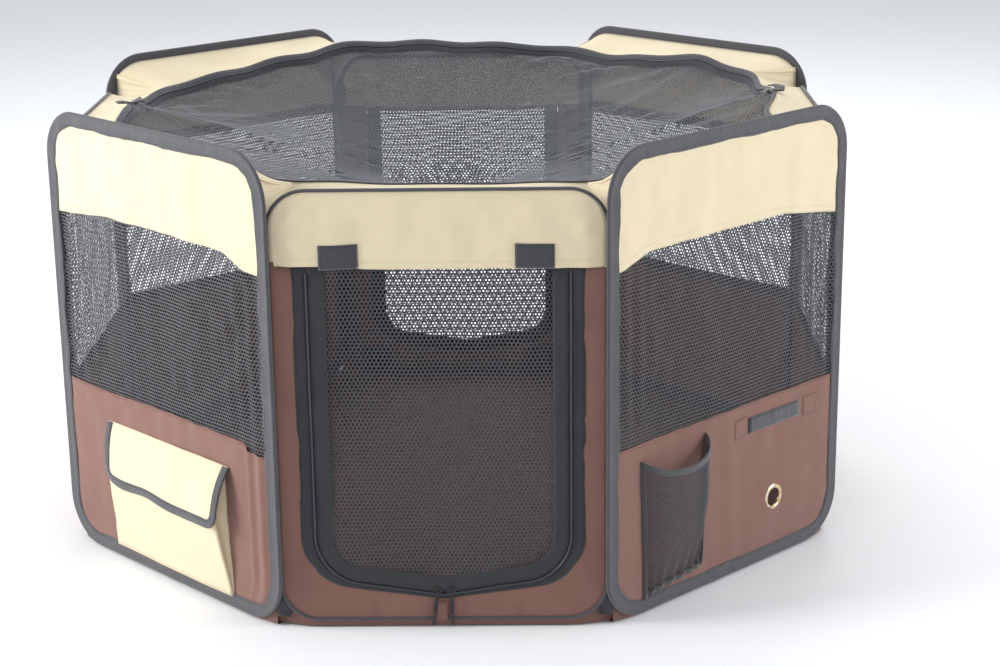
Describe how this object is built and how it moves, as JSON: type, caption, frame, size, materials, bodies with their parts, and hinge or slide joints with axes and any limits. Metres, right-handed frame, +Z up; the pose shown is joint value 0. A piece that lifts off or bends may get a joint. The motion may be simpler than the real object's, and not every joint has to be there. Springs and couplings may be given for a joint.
{
  "type": "pet playpen",
  "caption": "Octagonal fabric pet playpen with net windows, two zipped net doors, wire-edged folding walls, storage and bottle pockets and a zip-off net cover.",
  "frame": {"origin": "on the ground at the middle of the pen, under the floor sheet", "axes": "+Z up, -Y faces the front door, +X to the right seen from the front"},
  "size_m": [1.0672, 1.0672, 0.61],
  "materials": {
    "beige_cloth": "woven polyester, light sand",
    "brown_cloth": "woven polyester, reddish brown",
    "binding_tape": "woven tape, dark grey",
    "net": "knitted hexagonal net, black",
    "zip_tape": "woven zip tape with moulded coil, black",
    "hook_loop": "hook and loop tape, near black",
    "spring_wire": "drawn spring steel",
    "zip_metal": "black paint over zinc, worn at the edges",
    "eyelet_metal": "nickel plated brass"
  },
  "bodies": {
    "floor": {"floor_sheet": "brown_cloth", "collar": "beige_cloth"},
    "front_wall": {"front_wire": "spring_wire", "front_piping": "binding_tape", "front_band": "beige_cloth", "front_surround": "brown_cloth", "front_strap_pads": "hook_loop"},
    "front_left_wall": {"front_left_wire": "spring_wire", "front_left_binding": "binding_tape", "front_left_band": "beige_cloth", "front_left_window_net": "net", "front_left_lower_panel": "brown_cloth", "storage_pocket": "beige_cloth"},
    "left_wall": {"left_wire": "spring_wire", "left_piping": "binding_tape", "left_band": "beige_cloth", "left_window_net": "net", "left_lower_panel": "brown_cloth"},
    "back_left_wall": {"back_left_wire": "spring_wire", "back_left_binding": "binding_tape", "back_left_band": "beige_cloth", "back_left_window_net": "net", "back_left_lower_panel": "brown_cloth"},
    "back_wall": {"back_wire": "spring_wire", "back_piping": "binding_tape", "back_band": "beige_cloth", "back_surround": "brown_cloth"},
    "back_right_wall": {"back_right_wire": "spring_wire", "back_right_binding": "binding_tape", "back_right_band": "beige_cloth", "back_right_window_net": "net", "back_right_lower_panel": "brown_cloth"},
    "right_wall": {"right_wire": "spring_wire", "right_piping": "binding_tape", "right_band": "beige_cloth", "right_window_net": "net", "right_lower_panel": "brown_cloth"},
    "front_right_wall": {"front_right_wire": "spring_wire", "front_right_binding": "binding_tape", "front_right_band": "beige_cloth", "front_right_window_net": "net", "front_right_lower_panel": "brown_cloth", "bottle_pocket": "net", "eyelet": "eyelet_metal", "bottle_strap": "hook_loop"},
    "front_door": {"front_door_tape": "zip_tape", "front_door_net": "net"},
    "front_slider_left": {"front_slider_left": "zip_metal"},
    "front_pull_left": {"front_pull_left": "zip_metal"},
    "front_slider_right": {"front_slider_right": "zip_metal"},
    "front_pull_right": {"front_pull_right": "zip_metal"},
    "back_door": {"back_door_tape": "zip_tape", "back_door_net": "net"},
    "back_slider_left": {"back_slider_left": "zip_metal"},
    "back_pull_left": {"back_pull_left": "zip_metal"},
    "back_slider_right": {"back_slider_right": "zip_metal"},
    "back_pull_right": {"back_pull_right": "zip_metal"},
    "storage_flap": {"storage_flap": "beige_cloth"},
    "top_cover": {"cover_tape": "zip_tape", "cover_net": "net"}
  },
  "joints": [
    {"name": "fold", "type": "hinge", "parent": "front_wall", "child": "front_left_wall", "pos_m": [-0.2127, -0.51351, 0.3], "axis": [0, 0, -1], "range_deg": [0, 120], "deforming": ["collar", "cover_tape", "cover_net", "storage_pocket", "storage_flap"]},
    {"name": "front_wall_swing", "type": "hinge", "parent": "floor", "child": "front_wall", "pos_m": [0.20227, -0.53178, 0.3], "axis": [0, 0, 1], "range_deg": [0, 20.1]},
    {"name": "left_corner_fold", "type": "hinge", "parent": "front_left_wall", "child": "left_wall", "pos_m": [-0.53178, -0.20227, 0.3], "axis": [0, 0, 1], "range_deg": [0, 200.5]},
    {"name": "back_left_corner_fold", "type": "hinge", "parent": "left_wall", "child": "back_left_wall", "pos_m": [-0.51351, 0.2127, 0.3], "axis": [0, 0, -1], "range_deg": [0, 120]},
    {"name": "front_right_wall_swing", "type": "hinge", "parent": "floor", "child": "front_right_wall", "pos_m": [0.20227, -0.53178, 0.3], "axis": [0, 0, -1], "range_deg": [0, 20.1]},
    {"name": "right_corner_fold", "type": "hinge", "parent": "front_right_wall", "child": "right_wall", "pos_m": [0.51351, -0.2127, 0.3], "axis": [0, 0, 1], "range_deg": [0, 120]},
    {"name": "back_right_corner_fold", "type": "hinge", "parent": "right_wall", "child": "back_right_wall", "pos_m": [0.53178, 0.20227, 0.3], "axis": [0, 0, -1], "range_deg": [0, 200.5]},
    {"name": "back_corner_fold", "type": "hinge", "parent": "back_right_wall", "child": "back_wall", "pos_m": [0.2127, 0.51351, 0.3], "axis": [0, 0, 1], "range_deg": [0, 120]},
    {"name": "front_door_swing", "type": "hinge", "parent": "front_wall", "child": "front_door", "pos_m": [0, -0.52066, 0.466], "axis": [-1, 0, 0], "range_deg": [0, 110]},
    {"name": "front_slider_left_slide", "type": "slide", "parent": "front_door", "child": "front_slider_left", "axis": [-0.9889, 0, 0.1483], "range_m": [0, 0.09]},
    {"name": "front_pull_left_swing", "type": "hinge", "parent": "front_slider_left", "child": "front_pull_left", "pos_m": [-0.00857, -0.52421, 0.04919], "axis": [-1, 0, 0], "range_deg": [0, 150]},
    {"name": "front_slider_right_slide", "type": "slide", "parent": "front_door", "child": "front_slider_right", "axis": [0.9889, 0, 0.1483], "range_m": [0, 0.09]},
    {"name": "front_pull_right_swing", "type": "hinge", "parent": "front_slider_right", "child": "front_pull_right", "pos_m": [0.00857, -0.52421, 0.04919], "axis": [-1, 0, 0], "range_deg": [0, 150]},
    {"name": "back_door_swing", "type": "hinge", "parent": "back_wall", "child": "back_door", "pos_m": [0, 0.52066, 0.466], "axis": [1, 0, 0], "range_deg": [0, 110]},
    {"name": "back_slider_left_slide", "type": "slide", "parent": "back_door", "child": "back_slider_left", "axis": [0.9889, 0, 0.1483], "range_m": [0, 0.09]},
    {"name": "back_pull_left_swing", "type": "hinge", "parent": "back_slider_left", "child": "back_pull_left", "pos_m": [0.00857, 0.52421, 0.04919], "axis": [1, 0, 0], "range_deg": [0, 150]},
    {"name": "back_slider_right_slide", "type": "slide", "parent": "back_door", "child": "back_slider_right", "axis": [-0.9889, 0, 0.1483], "range_m": [0, 0.09]},
    {"name": "back_pull_right_swing", "type": "hinge", "parent": "back_slider_right", "child": "back_pull_right", "pos_m": [-0.00857, 0.52421, 0.04919], "axis": [1, 0, 0], "range_deg": [0, 150]},
    {"name": "storage_flap_lift", "type": "hinge", "parent": "front_left_wall", "child": "storage_flap", "pos_m": [-0.36773, -0.36773, 0.196], "axis": [-0.7071, 0.7071, 0], "range_deg": [0, 105]},
    {"name": "top_cover_lift", "type": "slide", "parent": "floor", "child": "top_cover", "axis": [0, 0, 1], "range_m": [0, 0.15]}
  ],
  "couplings": [
    {"joint": "front_wall_swing", "follows": "fold", "ratio": 0.16667},
    {"joint": "left_corner_fold", "follows": "fold", "ratio": 1.6667},
    {"joint": "back_left_corner_fold", "follows": "fold", "ratio": 1},
    {"joint": "front_right_wall_swing", "follows": "fold", "ratio": 0.16667},
    {"joint": "right_corner_fold", "follows": "fold", "ratio": 1},
    {"joint": "back_right_corner_fold", "follows": "fold", "ratio": 1.6667},
    {"joint": "back_corner_fold", "follows": "fold", "ratio": 1}
  ]
}
